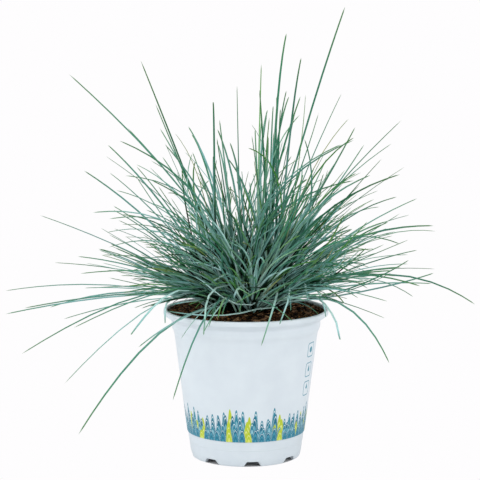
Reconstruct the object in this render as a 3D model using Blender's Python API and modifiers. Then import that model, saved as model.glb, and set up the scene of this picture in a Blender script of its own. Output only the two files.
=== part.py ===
"""Potted blue fescue clump: a moulded nursery pot full of peat, with a dense tussock of
needle-like blue-green leaves.

The pot's axis is the Z axis and the pot stands on z = 0. -Y is the front. Metres throughout.
"""

import math
import random

import bmesh
import bpy
from mathutils import Matrix, Vector, noise

MM = 0.001
SHARP_ANGLE = math.radians(35)

# Pot
POT_SIDES = 32
POT_HEIGHT = 117.2 * MM
WALL = 1.0 * MM
RIM_RADIUS = 65.0 * MM
RIM_ROUNDING = 0.9 * MM
MOUTH_RADIUS = 62.1 * MM
LIP_HEIGHT = 3.9 * MM
LIP_WALL = 0.9 * MM
LIP_ROOF = 1.8 * MM
SHOULDER_HEIGHT = 112.6 * MM
COLLAR_TOP_HEIGHT = 109.6 * MM
COLLAR_FOOT_HEIGHT = 103.2 * MM
COLLAR_RADIUS = 58.8 * MM
COLLAR_DRAFT = 0.2 * MM
BODY_TOP_HEIGHT = 99.6 * MM
BODY_TOP_RADIUS = 56.7 * MM
BODY_FOOT_RADIUS = 46.6 * MM
STEP_HEIGHT = 20.2 * MM
STEP_DROP = 0.8 * MM
STEP_INSET = 0.7 * MM
FOOT_RADIUS = 43.1 * MM
FOOT_CORNER_HEIGHT = 1.2 * MM
FOOT_RING_RADIUS = 42.5 * MM
FOOT_RING_WIDTH = 2.4 * MM
FLOOR_HEIGHT = 5.0 * MM
FLOOR_ROUNDING = 2.0 * MM
DRAIN_COUNT = 8
DRAIN_PHASE = math.radians(6.5)
DRAIN_FOOT_WIDTH = 14.0 * MM
DRAIN_TOP_WIDTH = 8.5 * MM
DRAIN_HEIGHT = 4.1 * MM
DRAIN_SLOT_WIDTH = 6.5 * MM
DRAIN_SLOT_LENGTH = 7.0 * MM
DRAIN_SLOT_RADIUS = 34.1 * MM

# Potting soil
CLEARANCE = 0.3 * MM
SOIL_INSET = WALL + 0.5 * MM
SOIL_SIDES = 26
SOIL_RING_RADII = [0, 20 * MM, 36 * MM, 44 * MM, 52 * MM]
SOIL_EDGE_HEIGHT = 115.0 * MM
SOIL_CROWN_HEIGHT = 118.4 * MM
SOIL_LUMP = 1.5 * MM
SOIL_LUMP_SPACING = 9.0 * MM

# Tussock: every tuft is a short sheath with a lead leaf and shorter leaves beside it
CLUMP_RADIUS = 30.0 * MM
CLUMP_DEPTH_RATIO = 0.85
CLUMP_EDGE_WIDTH = 4.0 * MM
OPEN_GROUND_WIDTH = 8.0 * MM
SHEATH_RADIUS = 2.0 * MM
SHEATH_HEIGHT = 6.0 * MM
LEAF_START = 4.0 * MM
LEAF_RADIUS = 0.8 * MM
TIP_SHARE = 0.25
LEAD_STEPS = 5
SIDE_LEAF_STEPS = 3
SIDE_LEAVES = 2
SIDE_LEAF_LENGTH = (0.60, 0.86)
SIDE_LEAF_LENGTH_OVER_RIM = (0.42, 0.62)
SIDE_LEAF_TURN = 11.0
SIDE_LEAF_TILT = (-9.0, 9.0)
SIDE_LEAF_TILT_OVER_RIM = (12.0, 26.0)
SIDE_LEAF_OVER_RIM_BELOW = 127.0 * MM
LEAF_GAP = 0.4 * MM
SEED = 7

# Lead leaves in millimetres: where the tip is (x, y, z), then the bend that the leaf heads for
# before it arches over, as a share of the way out and a height above the soil. Where a leaf
# doesn't lean straight out of the clump, the place that it stands on (x, y) comes last.
TALL_LEAVES = [
    (77, 10, 353, 0.46, 132, 14, 4),
    (32, 30, 332, 0.15, 165, 20, 8),
    (42, -20, 314, 0.55, 155, 23, -5),
    (-83, 25, 311, 0.25, 60, -12, 4),
    (-135, -25, 302, 0.20, 82, 2, 2),
    (10, -45, 291, 0.25, 90, 22, -9),
    (-7, 5, 292, 0.50, 88, -6, 2),
    (-25, -35, 281, 0.05, 155, -30, -6),
    (46, 85, 280, 0.45, 92),
    (35, 60, 281, 0.10, 125, 18, 17),
    (53, -75, 275, 0.65, 75),
    (-22, -75, 263, 0.42, 92),
    (-45, 105, 247, 0.55, 110),
    (8, 115, 252, 0.30, 55, 13, 12),
]
LEFT_LEAVES = [
    (-47, 70, 256, 0.40, 100),
    (-71, 90, 253, 0.35, 75),
    (-92, -95, 256, 0.15, 100, -4, -6),
    (-113, 70, 241, 0.50, 82),
    (-92, 105, 222, 0.20, 82),
    (-87, -110, 232, 0.15, 100),
    (-124, -25, 228, 0.45, 71),
    (-113, -80, 202, 0.22, 86),
    (-118, 115, 163, 0.30, 70),
    (-156, -45, 196, 0.45, 48),
    (-157, 60, 145, 0.35, 27),
    (-103, -120, 176, 0.30, 48),
    (-130, 110, 116, 0.42, 12),
]
RIGHT_LEAVES = [
    (92, 80, 255, 0.52, 76),
    (118, -30, 267, 0.32, 75),
    (119, 85, 241, 0.52, 94),
    (78, -90, 256, 0.15, 100, -10, -6),
    (111, -100, 232, 0.38, 88),
    (120, 100, 210, 0.55, 86),
    (137, 30, 201, 0.45, 57),
    (142, -45, 188, 0.42, 68),
    (120, -95, 184, 0.25, 20),
    (130, 100, 155, 0.43, 68),
    (127, -110, 152, 0.55, 30),
]
LOW_LEAVES = [
    (-186, -25, 135, 0.50, 28),
    (-183, -50, 121, 0.30, 22),
    (-168, -75, 95, 0.26, 42),
    (-125, -115, 122, 0.20, 40),
    (-133, -95, 77, 0.30, 42),
    (-122, -118, 44, 0.46, 16),
    (-54, -104, 66, 0.42, 38),
    (184, 25, 116, 0.55, 47),
    (141, -60, 154, 0.60, 16),
    (132, 110, 134, 0.50, 20),
    (104, -90, 125, 0.30, 22),
    (107, -75, 88, 0.66, 37),
    (9, -80, 102, 0.60, 24, 20, -15),
]
# The photograph hides these: they fill the tussock towards the viewer and behind.
FRONT_AND_BACK_LEAVES = [
    (12, -176, 178, 0.42, 64),
    (-48, -150, 200, 0.42, 70),
    (62, -148, 196, 0.42, 68),
    (22, -124, 232, 0.44, 84),
    (18, 176, 182, 0.42, 62),
    (-62, 160, 168, 0.42, 54),
    (84, 148, 172, 0.42, 56),
]


def radians_around(index, count):
    return 2 * math.pi * index / count


def pot_section():
    """Half section: up the inside from the floor's middle, over the rim, down the outside."""
    floor_top = FLOOR_HEIGHT + WALL
    floor_edge = FOOT_RADIUS - FLOOR_ROUNDING
    collar_in = COLLAR_RADIUS - WALL
    lip_in = RIM_RADIUS - LIP_WALL
    mouth_out = MOUTH_RADIUS + WALL
    inside = [
        (0, floor_top),
        (floor_edge, floor_top),
        (floor_edge + 0.8 * FLOOR_ROUNDING, floor_top + FLOOR_ROUNDING),
        (BODY_TOP_RADIUS - WALL, BODY_TOP_HEIGHT),
        (collar_in - COLLAR_DRAFT, COLLAR_FOOT_HEIGHT),
        (collar_in, COLLAR_TOP_HEIGHT),
        (MOUTH_RADIUS, SHOULDER_HEIGHT),
    ]
    rim = [
        (MOUTH_RADIUS, POT_HEIGHT - RIM_ROUNDING),
        (MOUTH_RADIUS + RIM_ROUNDING, POT_HEIGHT),
        (RIM_RADIUS - RIM_ROUNDING, POT_HEIGHT),
        (RIM_RADIUS, POT_HEIGHT - RIM_ROUNDING),
        (RIM_RADIUS, POT_HEIGHT - LIP_HEIGHT),
        (lip_in, POT_HEIGHT - LIP_HEIGHT),
        (lip_in, POT_HEIGHT - LIP_ROOF),
        (mouth_out, POT_HEIGHT - LIP_ROOF),
        (mouth_out, SHOULDER_HEIGHT - 0.5 * WALL),
    ]
    outside = [
        (COLLAR_RADIUS, COLLAR_TOP_HEIGHT - 0.5 * WALL),
        (COLLAR_RADIUS - COLLAR_DRAFT, COLLAR_FOOT_HEIGHT),
        (BODY_TOP_RADIUS, BODY_TOP_HEIGHT),
        (BODY_FOOT_RADIUS, STEP_HEIGHT),
        (BODY_FOOT_RADIUS - STEP_INSET, STEP_HEIGHT - STEP_DROP),
        (FOOT_RADIUS, FOOT_CORNER_HEIGHT),
        (FOOT_RING_RADIUS, 0),
        (FOOT_RING_RADIUS - FOOT_RING_WIDTH, 0),
        (FOOT_RING_RADIUS - FOOT_RING_WIDTH, FLOOR_HEIGHT),
        (0, FLOOR_HEIGHT),
    ]
    return inside + rim + outside


def soil_height(radius, x=0.0, y=0.0):
    """Top of the peat: a low dome, lumpy outside the ground that the tussock covers."""
    edge = inner_mouth_radius()
    dome = SOIL_EDGE_HEIGHT + (SOIL_CROWN_HEIGHT - SOIL_EDGE_HEIGHT) * (1 - (radius / edge) ** 2)
    open_ground = (radius - CLUMP_RADIUS - CLUMP_EDGE_WIDTH) / OPEN_GROUND_WIDTH
    open_ground = min(max(open_ground, 0), 1)
    place = Vector((x, y, 0)) / SOIL_LUMP_SPACING
    return dome + SOIL_LUMP * open_ground * noise.noise(place)


def inner_mouth_radius():
    return MOUTH_RADIUS - CLEARANCE


def soil_section():
    """Half section of the peat: out over the top, down the wall and back along the floor."""
    floor_top = FLOOR_HEIGHT + WALL + CLEARANCE
    floor_edge = FOOT_RADIUS - FLOOR_ROUNDING - CLEARANCE
    top = [(radius, soil_height(radius)) for radius in SOIL_RING_RADII]
    side = [
        (inner_mouth_radius(), SOIL_EDGE_HEIGHT),
        (inner_mouth_radius(), SHOULDER_HEIGHT + CLEARANCE),
        (COLLAR_RADIUS - SOIL_INSET, COLLAR_TOP_HEIGHT),
        (COLLAR_RADIUS - COLLAR_DRAFT - SOIL_INSET, COLLAR_FOOT_HEIGHT),
        (BODY_TOP_RADIUS - SOIL_INSET, BODY_TOP_HEIGHT),
        (floor_edge + 0.8 * FLOOR_ROUNDING, floor_top + FLOOR_ROUNDING),
        (floor_edge - CLEARANCE, floor_top),
        (0, floor_top),
    ]
    return top + side


def material(name, colour, roughness):
    made = bpy.data.materials.new(name)
    made.use_nodes = True
    shader = made.node_tree.nodes["Principled BSDF"]
    shader.inputs["Base Color"].default_value = (*colour, 1.0)
    shader.inputs["Roughness"].default_value = roughness
    shader.inputs["Metallic"].default_value = 0.0
    made.diffuse_color = (*colour, 1.0)
    return made


def link(obj, collection, finish=None):
    collection.objects.link(obj)
    if finish:
        obj.data.materials.append(finish)
    return obj


def as_guide(obj):
    obj.hide_render = True
    obj.display_type = "WIRE"
    return obj


def turned(name, section, sides):
    """An object whose Screw modifier turns this half section about Z."""
    mesh = bpy.data.meshes.new(name)
    edges = [(index, index + 1) for index in range(len(section) - 1)]
    mesh.from_pydata([(radius, 0, height) for radius, height in section], edges, [])
    obj = bpy.data.objects.new(name, mesh)
    screw = obj.modifiers.new("turn", "SCREW")
    screw.axis = "Z"
    screw.steps = sides
    screw.render_steps = sides
    screw.use_merge_vertices = True
    screw.merge_threshold = 0.00001
    return obj


def evaluated_mesh(obj):
    """The object's mesh with its modifiers or its bevel applied; the object is removed."""
    bpy.context.view_layer.update()
    evaluated = obj.evaluated_get(bpy.context.evaluated_depsgraph_get())
    mesh = bpy.data.meshes.new_from_object(evaluated)
    bpy.data.objects.remove(obj)
    return mesh


def drain_cutter():
    """Trapezoid notches through the foot ring, and the slots that they drain in the floor."""
    mesh = bpy.data.meshes.new("drain_cutter")
    bm = bmesh.new()
    below = 1 * MM
    depth = 10 * MM
    for index in range(DRAIN_COUNT):
        turn = Matrix.Rotation(DRAIN_PHASE + radians_around(index, DRAIN_COUNT), 4, "Z")
        notch = bmesh.ops.create_cube(bm, size=1)["verts"]
        for vert in notch:
            top = vert.co.z > 0
            slope = (DRAIN_FOOT_WIDTH - DRAIN_TOP_WIDTH) / DRAIN_HEIGHT
            width = DRAIN_TOP_WIDTH if top else DRAIN_FOOT_WIDTH + slope * below
            height = DRAIN_HEIGHT if top else -below
            vert.co = Vector((vert.co.x * width, vert.co.y * depth - FOOT_RADIUS, height))
        slot = bmesh.ops.create_cube(bm, size=1)["verts"]
        size = Vector((DRAIN_SLOT_WIDTH, DRAIN_SLOT_LENGTH, 3 * WALL))
        middle = Vector((0, -DRAIN_SLOT_RADIUS, FLOOR_HEIGHT + 0.5 * WALL))
        for vert in slot:
            vert.co = middle + vert.co * size
        bmesh.ops.transform(bm, matrix=turn, verts=notch + slot)
    bmesh.ops.recalc_face_normals(bm, faces=bm.faces)
    bm.to_mesh(mesh)
    bm.free()
    return as_guide(bpy.data.objects.new("drain_cutter", mesh))


def make_pot(parts, cutters):
    mesh = evaluated_mesh(link(turned("pot_turning", pot_section(), POT_SIDES), parts))
    mesh.shade_smooth()
    mesh.set_sharp_from_angle(angle=SHARP_ANGLE)
    pot = bpy.data.objects.new("pot", mesh)
    link(pot, parts, material("white_polypropylene", (0.72, 0.78, 0.83), 0.42))
    drains = link(drain_cutter(), cutters)
    cut = pot.modifiers.new("drains", "BOOLEAN")
    cut.operation = "DIFFERENCE"
    cut.object = drains
    return pot


def make_soil(parts):
    """The turned peat block, made a mesh so that its top can be broken into lumps."""
    mesh = evaluated_mesh(link(turned("soil_turning", soil_section(), SOIL_SIDES), parts))
    for vert in mesh.vertices:
        radius = math.hypot(vert.co.x, vert.co.y)
        on_top = vert.co.z > SOIL_EDGE_HEIGHT - CLEARANCE
        if on_top and radius > CLUMP_RADIUS:
            vert.co.z = soil_height(radius, vert.co.x, vert.co.y)
    mesh.shade_smooth()
    mesh.set_sharp_from_angle(angle=SHARP_ANGLE)
    soil = bpy.data.objects.new("potting_soil", mesh)
    link(soil, parts, material("peat", (0.045, 0.024, 0.015), 0.95))
    return soil


def lead_leaves():
    """Every tuft's lead leaf: those with a chosen place first, then from the lowest up."""
    rows = TALL_LEAVES + LEFT_LEAVES + RIGHT_LEAVES + LOW_LEAVES + FRONT_AND_BACK_LEAVES
    rows.sort(key=lambda row: lean(Vector(row[:3]) * MM), reverse=True)
    leads = []
    for rank, (x, y, z, bend_share, bend_height, *place) in enumerate(rows):
        tip = Vector((x, y, z)) * MM
        out = CLUMP_RADIUS * math.sqrt(1 - rank / len(rows))
        wish = Vector((*place, 0)) * MM if place else Vector((x, y, 0)).normalized() * out
        leads.append({"tip": tip, "share": bend_share, "height": bend_height * MM,
                      "wish": wish, "chosen": bool(place)})
    return sorted(leads, key=lambda lead: not lead["chosen"])


def lean(tip):
    """1 for a leaf that lies level, 0 for one that stands upright."""
    reach = math.hypot(tip.x, tip.y)
    return reach / math.hypot(reach, max(tip.z - SOIL_CROWN_HEIGHT, 0))


def clump_places(count):
    """Evenly spread places for the tufts, on a sunflower spiral pressed to an ellipse."""
    golden = math.pi * (3 - math.sqrt(5))
    places = []
    for index in range(count):
        radius = CLUMP_RADIUS * math.sqrt((index + 0.5) / count)
        places.append(Vector((radius * math.cos(golden * index),
                              radius * math.sin(golden * index) * CLUMP_DEPTH_RATIO, 0)))
    return places


def give_places(leads):
    """Stand every tuft on the free place nearest to its wish."""
    places = clump_places(len(leads))
    for lead in leads:
        place = min(places, key=lambda spot: (spot - lead["wish"]).length)
        places.remove(place)
        radius = max(place.length - SHEATH_RADIUS, 0)
        lead["foot"] = Vector((place.x, place.y, soil_height(radius) + CLEARANCE))


def leaf_path(start, tip, bend_share, bend_height, steps, bow=Vector()):
    """Points along one leaf, on the arc that its start, its bend and its tip give."""
    bend = start.lerp(tip, bend_share) + bow
    bend.z = SOIL_CROWN_HEIGHT + bend_height
    path = []
    for index in range(steps + 1):
        t = index / steps
        path.append(start * (1 - t) ** 2 + bend * 2 * t * (1 - t) + tip * t ** 2)
    return path


def segment_gap(a, b, c, d):
    """Shortest distance between the segments a-b and c-d."""
    u = b - a
    v = d - c
    w = a - c
    uu, uv, vv, uw, vw = u.dot(u), u.dot(v), v.dot(v), u.dot(w), v.dot(w)
    spread = uu * vv - uv * uv
    s = min(max((uv * vw - vv * uw) / spread, 0), 1) if spread > 1e-16 else 0.0
    t = min(max((uv * s + vw) / vv, 0), 1)
    s = min(max((uv * t - uw) / uu, 0), 1)
    return (w + u * s - v * t).length


def boxes_apart(path, other, gap):
    for axis in range(3):
        mine = [point[axis] for point in path]
        theirs = [point[axis] for point in other]
        if min(mine) > max(theirs) + gap or min(theirs) > max(mine) + gap:
            return True
    return False


def paths_clear(path, other, gap):
    """True if two leaves, or a leaf and a sheath, stay this far apart."""
    if boxes_apart(path, other, gap):
        return True
    for a, b in zip(path, path[1:]):
        for c, d in zip(other, other[1:]):
            if segment_gap(a, b, c, d) < gap:
                return False
    return True


def clears_pot(path):
    """True if the leaf stays above the rim until it is outside it."""
    margin = 2 * LEAF_RADIUS
    samples = 12
    for a, b in zip(path, path[1:]):
        for index in range(samples + 1):
            point = a.lerp(b, index / samples)
            inside_rim = math.hypot(point.x, point.y) < RIM_RADIUS + margin
            if inside_rim and point.z < POT_HEIGHT + margin:
                return False
    return True


def has_room(path, sheaths, leaves):
    gap = 2 * LEAF_RADIUS + LEAF_GAP
    sheath_gap = SHEATH_RADIUS + LEAF_RADIUS + LEAF_GAP
    return (clears_pot(path)
            and all(paths_clear(path, sheath, sheath_gap) for sheath in sheaths)
            and all(paths_clear(path, leaf, gap) for leaf in leaves))


def sheath_axis(foot):
    return [foot, foot + Vector((0, 0, SHEATH_HEIGHT))]


def grow_lead(lead, sheaths, leaves, rng):
    """The lead leaf, its bend and tip eased aside a little until it clears its neighbours."""
    start = lead["foot"] + Vector((0, 0, LEAF_START))
    for attempt in range(1200):
        ease = attempt * 0.02 * MM
        aside = Vector((rng.uniform(-1, 1), rng.uniform(-1, 1), 0)) * min(ease, 2 * MM)
        bow = Vector((rng.uniform(-1, 1), rng.uniform(-1, 1), 0)) * ease
        height = lead["height"] + rng.uniform(-1, 1) * ease
        path = leaf_path(start, lead["tip"] + aside, lead["share"], height, LEAD_STEPS, bow)
        if has_room(path, sheaths, leaves):
            return path
    raise ValueError("no room for the leaf with its tip at " + str(lead["tip"]))


def grow_side_leaf(lead, lead_path, sheaths, leaves, rng):
    """A shorter leaf beside the lead, or None if the tuft has no room for it. Beside a lead that hangs
    over the rim it is shorter still and stands up."""
    foot = lead["foot"]
    reach = lead_path[-1] - foot
    heading = math.atan2(reach.y, reach.x)
    across = Vector((-math.sin(heading), math.cos(heading), 0))
    over_rim = lead["tip"].z < SIDE_LEAF_OVER_RIM_BELOW
    for _ in range(60):
        length = rng.uniform(*(SIDE_LEAF_LENGTH_OVER_RIM if over_rim else SIDE_LEAF_LENGTH))
        tilt = rng.uniform(*(SIDE_LEAF_TILT_OVER_RIM if over_rim else SIDE_LEAF_TILT))
        turn = rng.uniform(-SIDE_LEAF_TURN, SIDE_LEAF_TURN)
        aside = Matrix.Rotation(math.radians(turn), 3, "Z")
        up = Matrix.Rotation(math.radians(-tilt), 3, across)
        tip = foot + aside @ up @ reach * length
        start = foot + across * math.copysign(0.4 * SHEATH_RADIUS, turn)
        start.z += LEAF_START - rng.uniform(0.5, 1.5) * MM
        path = leaf_path(start, tip, lead["share"], lead["height"] * length, SIDE_LEAF_STEPS)
        apart = (path[-1] - lead_path[-2]).length > 4 * MM
        if apart and has_room(path, sheaths, leaves):
            return path
    return None


def grow_tufts():
    """Foot and leaf paths of every tuft: all the lead leaves first, then the side leaves."""
    rng = random.Random(SEED)
    leads = lead_leaves()
    give_places(leads)
    tufts = []
    for lead in leads:
        sheaths = [sheath_axis(other["foot"]) for other in leads if other is not lead]
        leaves = [path for tuft in tufts for path in tuft["leaves"]]
        tufts.append({"lead": lead, "leaves": [grow_lead(lead, sheaths, leaves, rng)]})
    for _ in range(SIDE_LEAVES):
        for tuft in tufts:
            neighbours = [other for other in tufts if other is not tuft]
            sheaths = [sheath_axis(other["lead"]["foot"]) for other in neighbours]
            leaves = [path for other in neighbours for path in other["leaves"]]
            path = grow_side_leaf(tuft["lead"], tuft["leaves"][0], sheaths, leaves, rng)
            if path:
                tuft["leaves"].append(path)
    return tufts


def leaf_section(cutters):
    """Outline of a folded leaf across its width: two edges above, the keel below."""
    outline = bpy.data.curves.new("leaf_section", "CURVE")
    outline.dimensions = "2D"
    spline = outline.splines.new("POLY")
    spline.points.add(2)
    for index, point in enumerate(spline.points):
        angle = math.radians(90) + radians_around(index, 3)
        point.co = (LEAF_RADIUS * math.cos(angle), LEAF_RADIUS * math.sin(angle), 0, 1)
    spline.use_cyclic_u = True
    return link(as_guide(bpy.data.objects.new("leaf_section", outline)), cutters)


def leaf_mesh(name, paths, section):
    """One mesh of closed tapering leaves, one along each path."""
    curve = bpy.data.curves.new(name, "CURVE")
    curve.dimensions = "3D"
    curve.bevel_mode = "OBJECT"
    curve.bevel_object = section
    curve.use_fill_caps = True
    for path in paths:
        spline = curve.splines.new("POLY")
        spline.points.add(len(path) - 1)
        for index, (point, place) in enumerate(zip(spline.points, path)):
            along = index / (len(path) - 1)
            point.co = (*place, 1)
            point.radius = 1 - (1 - TIP_SHARE) * along ** 2
    drawn = bpy.data.objects.new(name, curve)
    bpy.context.scene.collection.objects.link(drawn)
    mesh = evaluated_mesh(drawn)
    bm = bmesh.new()
    bm.from_mesh(mesh)
    bmesh.ops.remove_doubles(bm, verts=bm.verts, dist=0.00001)
    bmesh.ops.recalc_face_normals(bm, faces=bm.faces)
    bm.to_mesh(mesh)
    bm.free()
    return mesh


def make_tuft(number, tuft, section, finish, parts, cutters):
    """A sheath stub that the tuft's leaves grow out of, all one piece."""
    name = "tuft_{:02d}".format(number)
    mesh = bpy.data.meshes.new(name)
    bm = bmesh.new()
    middle = tuft["lead"]["foot"] + Vector((0, 0, SHEATH_HEIGHT / 2))
    bmesh.ops.create_cone(bm, cap_ends=True, segments=5, radius1=SHEATH_RADIUS,
                          radius2=0.7 * SHEATH_RADIUS, depth=SHEATH_HEIGHT,
                          matrix=Matrix.Translation(middle))
    bm.to_mesh(mesh)
    bm.free()
    sheath = link(bpy.data.objects.new(name, mesh), parts, finish)
    leaves = bpy.data.objects.new(name + "_leaves", leaf_mesh(name, tuft["leaves"], section))
    link(as_guide(leaves), cutters)
    grown = sheath.modifiers.new("leaves", "BOOLEAN")
    grown.operation = "UNION"
    grown.use_self = True
    grown.object = leaves
    return sheath


def main():
    for old in list(bpy.data.objects):
        bpy.data.objects.remove(old, do_unlink=True)
    parts = bpy.data.collections.new("potted_blue_fescue_clump")
    cutters = bpy.data.collections.new("cutters")
    bpy.context.scene.collection.children.link(parts)
    bpy.context.scene.collection.children.link(cutters)
    make_pot(parts, cutters)
    make_soil(parts)
    section = leaf_section(cutters)
    finish = material("fescue_leaf", (0.13, 0.26, 0.25), 0.55)
    for number, tuft in enumerate(grow_tufts(), start=1):
        make_tuft(number, tuft, section, finish, parts, cutters)


main()
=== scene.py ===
import math
import random

import bmesh
import bpy
from mathutils import Matrix, Vector, noise


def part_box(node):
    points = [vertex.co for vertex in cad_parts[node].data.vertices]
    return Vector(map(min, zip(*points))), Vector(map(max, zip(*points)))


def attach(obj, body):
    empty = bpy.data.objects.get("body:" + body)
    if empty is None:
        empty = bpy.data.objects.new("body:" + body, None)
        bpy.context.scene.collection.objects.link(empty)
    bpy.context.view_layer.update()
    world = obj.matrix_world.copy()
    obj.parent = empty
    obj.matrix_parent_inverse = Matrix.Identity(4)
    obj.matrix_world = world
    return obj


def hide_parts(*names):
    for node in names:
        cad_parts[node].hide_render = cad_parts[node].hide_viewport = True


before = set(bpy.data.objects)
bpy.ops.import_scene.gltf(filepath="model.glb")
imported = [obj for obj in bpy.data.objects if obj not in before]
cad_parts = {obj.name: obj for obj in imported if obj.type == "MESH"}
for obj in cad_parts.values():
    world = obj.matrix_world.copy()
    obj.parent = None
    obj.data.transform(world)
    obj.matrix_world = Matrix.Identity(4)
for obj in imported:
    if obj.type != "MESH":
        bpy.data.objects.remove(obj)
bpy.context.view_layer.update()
MM = 0.001

# Nursery pot.
# One thin shell of white polypropylene, injection moulded in one shot: a rolled rim to lift it by, a
# collar that keeps stacked pots apart, a tapered body, a small step above the foot and a foot ring
# with eight drain notches. The border and the care signs are printed straight on the plastic.

pot_low, pot_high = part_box("pot")
POT_HEIGHT = pot_high[2]
RIM_RADIUS = pot_high[0]
POT_STEPS = 144
WALL = 1.0 * MM
MOUTH_RADIUS = RIM_RADIUS - 2.9 * MM
LIP_INSIDE = RIM_RADIUS - 0.9 * MM
LIP_FOOT = POT_HEIGHT - 3.9 * MM
LIP_ROOF = POT_HEIGHT - 1.8 * MM
SHOULDER = 112.6 * MM
COLLAR_TOP = 109.6 * MM
COLLAR_FOOT = 103.2 * MM
COLLAR_RADIUS = 58.8 * MM
COLLAR_FOOT_RADIUS = 58.6 * MM
BODY_TOP = 99.6 * MM
BODY_TOP_RADIUS = 56.7 * MM
BODY_FOOT_RADIUS = 46.6 * MM
STEP_HEIGHT = 20.2 * MM
FOOT_RADIUS = 43.1 * MM
POT_FLOOR = 5.0 * MM
DRAINS = 8
DRAIN_PHASE = math.radians(6.5)
SIGN_TURN = math.radians(66)
SIGN_FLAT = 3.6 * MM
SIGN_CORNER = 1.8 * MM
SIGN_LINE = 0.7 * MM
SIGNS = [  # middle, disc radius, height of the point above it: sun, water and height
    (88.5 * MM, 2.4 * MM, 0.0),
    (72.6 * MM, 1.7 * MM, 3.8 * MM),
    (57.6 * MM, 0.8 * MM, 4.0 * MM),
]


def half_section_of_pot():
    """(radius, height, corner rounding): up the inside from the floor's middle, then down outside."""
    inside = [
        (0, POT_FLOOR + WALL, 0),
        (FOOT_RADIUS - 1.0 * MM, POT_FLOOR + WALL, 1.6 * MM),
        (BODY_TOP_RADIUS - WALL, BODY_TOP, 1.2 * MM),
        (COLLAR_FOOT_RADIUS - WALL, COLLAR_FOOT, 1.2 * MM),
        (COLLAR_RADIUS - WALL, COLLAR_TOP, 1.2 * MM),
        (MOUTH_RADIUS, SHOULDER, 1.2 * MM),
    ]
    rim = [
        (MOUTH_RADIUS, POT_HEIGHT, 0.9 * MM),
        (RIM_RADIUS, POT_HEIGHT, 0.9 * MM),
        (RIM_RADIUS, LIP_FOOT, 0.25 * MM),
        (LIP_INSIDE, LIP_FOOT, 0.25 * MM),
        (LIP_INSIDE, LIP_ROOF, 0.3 * MM),
        (MOUTH_RADIUS + WALL, LIP_ROOF, 0.3 * MM),
        (MOUTH_RADIUS + WALL, SHOULDER - WALL / 2, 0.8 * MM),
    ]
    outside = [
        (COLLAR_RADIUS, COLLAR_TOP - WALL / 2, 1.2 * MM),
        (COLLAR_FOOT_RADIUS, COLLAR_FOOT, 1.6 * MM),
        (BODY_TOP_RADIUS, BODY_TOP, 1.6 * MM),
        (BODY_FOOT_RADIUS, STEP_HEIGHT, 0.25 * MM),
        (BODY_FOOT_RADIUS - 0.7 * MM, STEP_HEIGHT - 0.8 * MM, 0.4 * MM),
        (FOOT_RADIUS + 1.95 * MM, 12.7 * MM, 0.05 * MM),
        (FOOT_RADIUS + 1.7 * MM, 12.4 * MM, 0.05 * MM),
        (FOOT_RADIUS + 0.9 * MM, 5.0 * MM, 1.6 * MM),
        (FOOT_RADIUS - 0.3 * MM, 0, 0.9 * MM),
        (FOOT_RADIUS - 3.0 * MM, 0, 0.4 * MM),
        (FOOT_RADIUS - 3.0 * MM, POT_FLOOR, 0.4 * MM),
        (0, POT_FLOOR, 0),
    ]
    return inside + rim + outside


def turned(section, steps):
    """A closed body turned about the pot's axis from (radius, height, corner rounding) points."""
    bm = bmesh.new()
    corners = [bm.verts.new((radius, 0, height)) for radius, height, rounding in section]
    for corner, following in zip(corners, corners[1:]):
        bm.edges.new((corner, following))
    for size in sorted({rounding for radius, height, rounding in section if rounding}):
        soft = [corner for corner, point in zip(corners, section) if point[2] == size]
        bmesh.ops.bevel(bm, geom=soft, affect="VERTICES", offset=size, segments=4,
                        profile=0.5, material=-1)
    bmesh.ops.spin(bm, geom=bm.verts[:] + bm.edges[:], axis=(0, 0, 1), cent=(0, 0, 0),
                   steps=steps, angle=math.tau, use_merge=True)
    bmesh.ops.remove_doubles(bm, verts=bm.verts, dist=0.005 * MM)
    bmesh.ops.recalc_face_normals(bm, faces=bm.faces)
    return bm


def made_piece(name, bm, finish, replaced=None):
    """Turns a bmesh into a piece of the clump: smooth, sharp at its edges, riding on the pot."""
    mesh = bpy.data.meshes.new(name)
    bm.to_mesh(mesh)
    bm.free()
    mesh.shade_smooth()
    mesh.set_sharp_from_angle(angle=math.radians(40))
    mesh.materials.append(finish)
    piece = bpy.data.objects.new(name, mesh)
    bpy.context.scene.collection.objects.link(piece)
    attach(piece, "root")
    if replaced:
        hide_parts(replaced)
    return piece


def cut_drains(pot):
    """Trapezoid notches through the foot ring, each with the slot that it drains in the floor."""
    bm = bmesh.new()
    for index in range(DRAINS):
        turn = Matrix.Rotation(DRAIN_PHASE + math.tau * index / DRAINS, 4, "Z")
        notch = bmesh.ops.create_cube(bm, size=1)["verts"]
        for vert in notch:
            width, height = (8.5 * MM, 4.1 * MM) if vert.co.z > 0 else (15.3 * MM, -1.0 * MM)
            vert.co = (vert.co.x * width, vert.co.y * 10 * MM - FOOT_RADIUS, height)
        slot = bmesh.ops.create_cube(bm, size=1)["verts"]
        bmesh.ops.scale(bm, vec=(6.5 * MM, 7.0 * MM, 3.0 * MM), verts=slot)
        bmesh.ops.translate(bm, vec=(0, 9 * MM - FOOT_RADIUS, POT_FLOOR + WALL / 2), verts=slot)
        bmesh.ops.transform(bm, matrix=turn, verts=notch + slot)
    mesh = bpy.data.meshes.new("drain cutter")
    bm.to_mesh(mesh)
    bm.free()
    cutter = bpy.data.objects.new("drain cutter", mesh)
    bpy.context.scene.collection.objects.link(cutter)
    cut = pot.modifiers.new("drains", "BOOLEAN")
    cut.object = cutter
    bpy.context.view_layer.update()
    whole = pot.data
    cut_pot = pot.evaluated_get(bpy.context.evaluated_depsgraph_get())
    pot.data = bpy.data.meshes.new_from_object(cut_pot)
    pot.data.name = whole.name
    pot.modifiers.clear()
    bpy.data.objects.remove(cutter)
    bpy.data.meshes.remove(mesh)
    bpy.data.meshes.remove(whole)


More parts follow.
